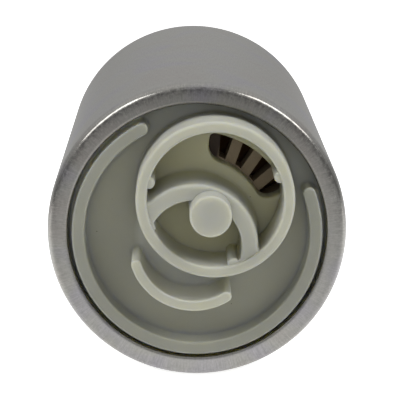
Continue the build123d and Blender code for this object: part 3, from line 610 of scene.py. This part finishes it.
def arch_skin():
    """Arch wall: a section of (radius, depth) about its own centre. Each point runs along its
    circle up to the middle of the collar's wall, and it widens by f (1 - sqrt(1 - g^2)) where
    it nears the collar, with g from 0 to 1 over the last f."""
    inner_foot, inner, outer, outer_base, outer_foot = 5.45, 5.9, 7.95, 8.25, 8.75
    mid_wall, flare, end = 6.9, 0.55, BACK - 0.4
    corners = [
        (inner_foot, FLOOR + TUCK),
        (inner, FLOOR + TUCK),
        (inner, ARCH_FRONT),
        (outer, ARCH_FRONT),
        (outer_base, FLOOR + TUCK),
        (outer_foot, FLOOR + TUCK),
        (outer_foot, end),
        (inner_foot, end),
    ]
    radius, depth = eased(corners, [0.02, 0.35, 0.25, 0.4, 0.4, 0.02, 0.02, 0.02]).T
    apart = np.linalg.norm(COLLAR - ARCH)
    into_wall = (COLLAR_RADIUS + COLLAR_BORE) / 2
    share = (radius**2 + apart**2 - into_wall**2) / (2 * radius * apart)
    run = np.linspace(-1, 1, 121)[:, None]
    angle = HEADING + run * np.degrees(np.arccos(np.clip(share, -0.99, 0.99)))
    straight = ARCH + radius[:, None] * unit(angle)
    gap = COLLAR_BORE - np.linalg.norm(straight - COLLAR, axis=-1)
    near = np.clip(1 - gap / flare, 0, 1)
    outward = np.where(radius > mid_wall, 1.0, -1.0)
    widened = radius + outward * flare * (1 - np.sqrt(1 - near**2)) * (depth < FLOOR)
    points = in_row(ARCH + widened[..., None] * unit(angle), depth)
    ends = [np.repeat(points[i].mean(0)[None, None], points.shape[1], 1) for i in (0, -1)]
    return skin(np.concatenate([ends[0], points, ends[1]]), True)


def post_skin():
    """Strainer post, drafted up to the collar's front and straight in front of it."""
    base, foot, end = 2.75, 3.3, BACK - 0.5
    corners = [
        (0, end),
        (foot, end),
        (foot, FLOOR + TUCK),
        (base, FLOOR + TUCK),
        (POST_RADIUS, COLLAR_FRONT),
        (POST_RADIUS, POST_FRONT),
        (0, POST_FRONT),
    ]
    return skin(turned(eased(corners, [0, 0.04, 0.02, 0.4, 0.02, 0.28, 0]), POST, 128))


def free_wall_skin(centre, radius, half_width, foot, front, root_reach, start, end, along=96):
    """Wall that stands free on the plate along an arc. A fillet, which reaches up the wall by
    the root's reach and out to the foot, joins it to the plate."""
    corners = [
        (0, ROOT),
        (foot, ROOT),
        (foot, FLOOR + TUCK),
        (half_width, FLOOR + TUCK),
        (half_width, front),
        (0, front),
    ]
    profile = eased(corners, [0, 0.04, 0.02, root_reach, 0.25, 0])
    return skin(wall(profile, centre, radius, start, end, along))


piece("shell_tube", shell_skin(), finishes["plated_steel"], "casing", "shell")

# the inlet cover is one moulding
c_rib = free_wall_skin(
    RIB,
    RIB_RADIUS,
    RIB_HALF_WIDTH,
    foot=1.3,
    front=0,
    root_reach=0.42,
    start=51.0,
    end=313.3,
    along=200,
)
guard = free_wall_skin(
    GUARD,
    GUARD_RADIUS,
    GUARD_HALF_WIDTH,
    foot=1.2,
    front=GUARD_FRONT,
    root_reach=0.45,
    start=131.0,
    end=236.0,
)
crush_ribs = [crush_rib_skin(angle) for angle in (-47, 99, 219)]
walls = [collar_skin(), *crush_ribs, arch_skin(), post_skin(), c_rib, guard]
cover = cut_and_joined(plate_skin(), ("DIFFERENCE", port_skin()), *[("UNION", one) for one in walls])
piece("inlet_cover_moulding", cover, ivory_painted_light_and_shade, "casing", "inlet_cover")

# Outlet end
merged_copy("outlet_cover_moulding", "outlet_cover", finishes["acetal"], "casing")
for side_name in ("left", "right"):
    merged_copy(f"terminal_blade_{side_name}", f"terminal_{side_name}", finishes["tinned_brass"], "casing")

# Springs and brush leads: each is shown as a merged copy with a mesh of its own
for joint in frame["record"]["behaviour"]["joints"]:
    for soft in joint.get("deforming_nodes", ()):
        node, fixed = soft["node"], soft["fixed_end_y_m"]
        wire = merged_copy(f"{node}_wire", node, finishes[slots[node]], "casing")
        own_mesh(wire)

# Camera: where the photograph was taken from, found from the rim and the far end of the shell.
# Distances are in metres, and the target lies up from the rim's middle as the camera sees it.
CAMERA_AWAY = 0.228
CAMERA_TILT = radians(13.58)
CAMERA_ASIDE = radians(0.6)
TARGET_RIGHT = 0.00037
TARGET_UP = 0.00414
LENS = 162.4

rim_middle = Vector((0, RIM * MM, 0))
level = cos(CAMERA_TILT)
back_off = Vector((-sin(CAMERA_ASIDE) * level, -cos(CAMERA_ASIDE) * level, sin(CAMERA_TILT)))
upward = Vector((0, sin(CAMERA_TILT), cos(CAMERA_TILT)))
camera = link(bpy.data.objects.new("camera", bpy.data.cameras.new("camera")))
camera.location = rim_middle + CAMERA_AWAY * back_off
target = rim_middle + Vector((TARGET_RIGHT, 0, 0)) + TARGET_UP * upward
camera.rotation_euler = (target - camera.location).to_track_quat("-Z", "Y").to_euler()
camera.data.sensor_width = 36.0
camera.data.lens = LENS
camera.data.clip_start = 0.01
bpy.context.scene.camera = camera


# Floor, world and lamps

def white_card():
    """Matt white card. The camera sees it as white as the backdrop, apart from the shadow, and
    metal sees it grow darker ahead of and behind the pump, as the card of a light tent does."""
    made, tree, shader, place = material("white_card", Roughness=0.9, Emission_Color=(1, 1, 1, 1))
    cloud = add(tree, "ShaderNodeTexNoise", {"Vector": place, "Scale": per_mm(40)}).outputs[0]
    paper = {0: cloud, 6: linear("f4f4f3"), 7: linear("f8f8f8")}
    pale = add(tree, "ShaderNodeMix", paper, data_type="RGBA").outputs[2]
    paths = add(tree, "ShaderNodeLightPath").outputs
    camera_ray, metal_ray = paths["Is Camera Ray"], paths["Is Glossy Ray"]
    glass_ray = paths["Is Transmission Ray"]
    seen = add(tree, "ShaderNodeMath", {0: camera_ray, 1: metal_ray}, operation="MAXIMUM").outputs[0]
    seen = add(tree, "ShaderNodeMath", {0: seen, 1: glass_ray}, operation="MAXIMUM").outputs[0]
    away = add(tree, "ShaderNodeSeparateXYZ", {0: place}).outputs["Y"]
    ahead = add(tree, "ShaderNodeMapRange", {0: away, 1: -0.2, 2: -0.03, 3: 0.7, 4: 0.0}).outputs[0]
    behind = add(tree, "ShaderNodeMapRange", {0: away, 1: 0.0, 2: 0.1, 3: 0.0, 4: 0.45}).outputs[0]
    dim = add(tree, "ShaderNodeMath", {0: ahead, 1: behind}, operation="ADD").outputs[0]
    dim = add(tree, "ShaderNodeMath", {0: dim, 1: metal_ray}, operation="MULTIPLY").outputs[0]
    keep = add(tree, "ShaderNodeMath", {0: 1.0, 1: dim}, operation="SUBTRACT").outputs[0]
    shown = add(tree, "ShaderNodeVectorMath", {0: pale, "Scale": keep}, operation="SCALE").outputs[0]
    tree.links.new(shown, shader.inputs["Base Color"])
    glow = add(tree, "ShaderNodeMapRange", {0: metal_ray, 3: 0.8, 4: 0.95}).outputs[0]
    glow = add(tree, "ShaderNodeMath", {0: seen, 1: glow}, operation="MULTIPLY").outputs[0]
    glow = add(tree, "ShaderNodeMath", {0: glow, 1: keep}, operation="MULTIPLY").outputs[0]
    tree.links.new(glow, shader.inputs["Emission Strength"])
    return made


def light_tent():
    """World: plain white to the camera and through glass. Metal sees a tent that is bright
    overhead and dimmer low down and in front, and everything else gets a soft fill, which
    comes most from in front of the pump and from behind it."""
    world = bpy.data.worlds.new("tent")
    world.use_nodes = True
    tree = world.node_tree
    tree.nodes.clear()
    paths = add(tree, "ShaderNodeLightPath").outputs
    camera_ray, metal_ray = paths["Is Camera Ray"], paths["Is Glossy Ray"]
    glass_ray = paths["Is Transmission Ray"]
    seen = add(tree, "ShaderNodeMath", {0: camera_ray, 1: glass_ray}, operation="MAXIMUM").outputs[0]
    ways = add(tree, "ShaderNodeTexCoord").outputs["Generated"]
    ways = add(tree, "ShaderNodeSeparateXYZ", {0: ways}).outputs
    along = add(tree, "ShaderNodeMath", {0: ways["Y"]}, operation="ABSOLUTE").outputs[0]
    along = add(tree, "ShaderNodeMath", {0: along, 1: 8.0}, operation="POWER").outputs[0]
    fill = add(tree, "ShaderNodeMapRange", {0: along, 1: 0.0, 2: 1.0, 3: 0.05, 4: 2.2}).outputs[0]
    roof = add(tree, "ShaderNodeMapRange", {0: ways["Z"], 1: 0.0, 2: 0.7, 3: 0.38, 4: 1.0}).outputs[0]
    open_side = add(tree, "ShaderNodeMapRange", {0: ways["Y"], 1: -0.9, 2: -0.2, 3: 0.5, 4: 1.0}).outputs[0]
    tent = add(tree, "ShaderNodeMath", {0: roof, 1: open_side}, operation="MULTIPLY").outputs[0]
    tent = add(tree, "ShaderNodeMix", {0: metal_ray, 2: fill, 3: tent}).outputs[0]
    strength = add(tree, "ShaderNodeMix", {0: seen, 2: tent, 3: 1.0}).outputs[0]
    sky = add(tree, "ShaderNodeBackground", {"Color": (1, 1, 1, 1), "Strength": strength}).outputs[0]
    add(tree, "ShaderNodeOutputWorld", {"Surface": sky})
    return world


def softbox(name, place, width, height, power):
    """Soft white lamp that faces the inlet end of the pump."""
    lamp = bpy.data.lights.new(name, "AREA")
    lamp.shape = "RECTANGLE"
    lamp.size, lamp.size_y, lamp.energy = width, height, power
    holder = link(bpy.data.objects.new(name, lamp))
    holder.location = Vector(place)
    holder.rotation_euler = (rim_middle - holder.location).to_track_quat("-Z", "Y").to_euler()


card_height = -(SHELL_RADIUS + 0.1) * MM
card_corners = [(-2, -1, card_height), (2, -1, card_height), (2, 3, card_height), (-2, 3, card_height)]
card = bpy.data.meshes.new("floor")
card.from_pydata(card_corners, [], [(0, 1, 2, 3)])
card.materials.append(white_card())
floor = link(bpy.data.objects.new("floor", card))

bpy.context.scene.world = light_tent()

LAMP_SIDE, LAMP_FRONT, LAMP_UP, LAMP_POWER = 0.315, -0.14, 0.36, 1.24
softbox("left_softbox", (-LAMP_SIDE, LAMP_FRONT, LAMP_UP), 0.24, 0.30, LAMP_POWER)
softbox("right_softbox", (LAMP_SIDE, LAMP_FRONT, LAMP_UP), 0.24, 0.30, LAMP_POWER)

bpy.context.scene.view_settings.view_transform = "Standard"
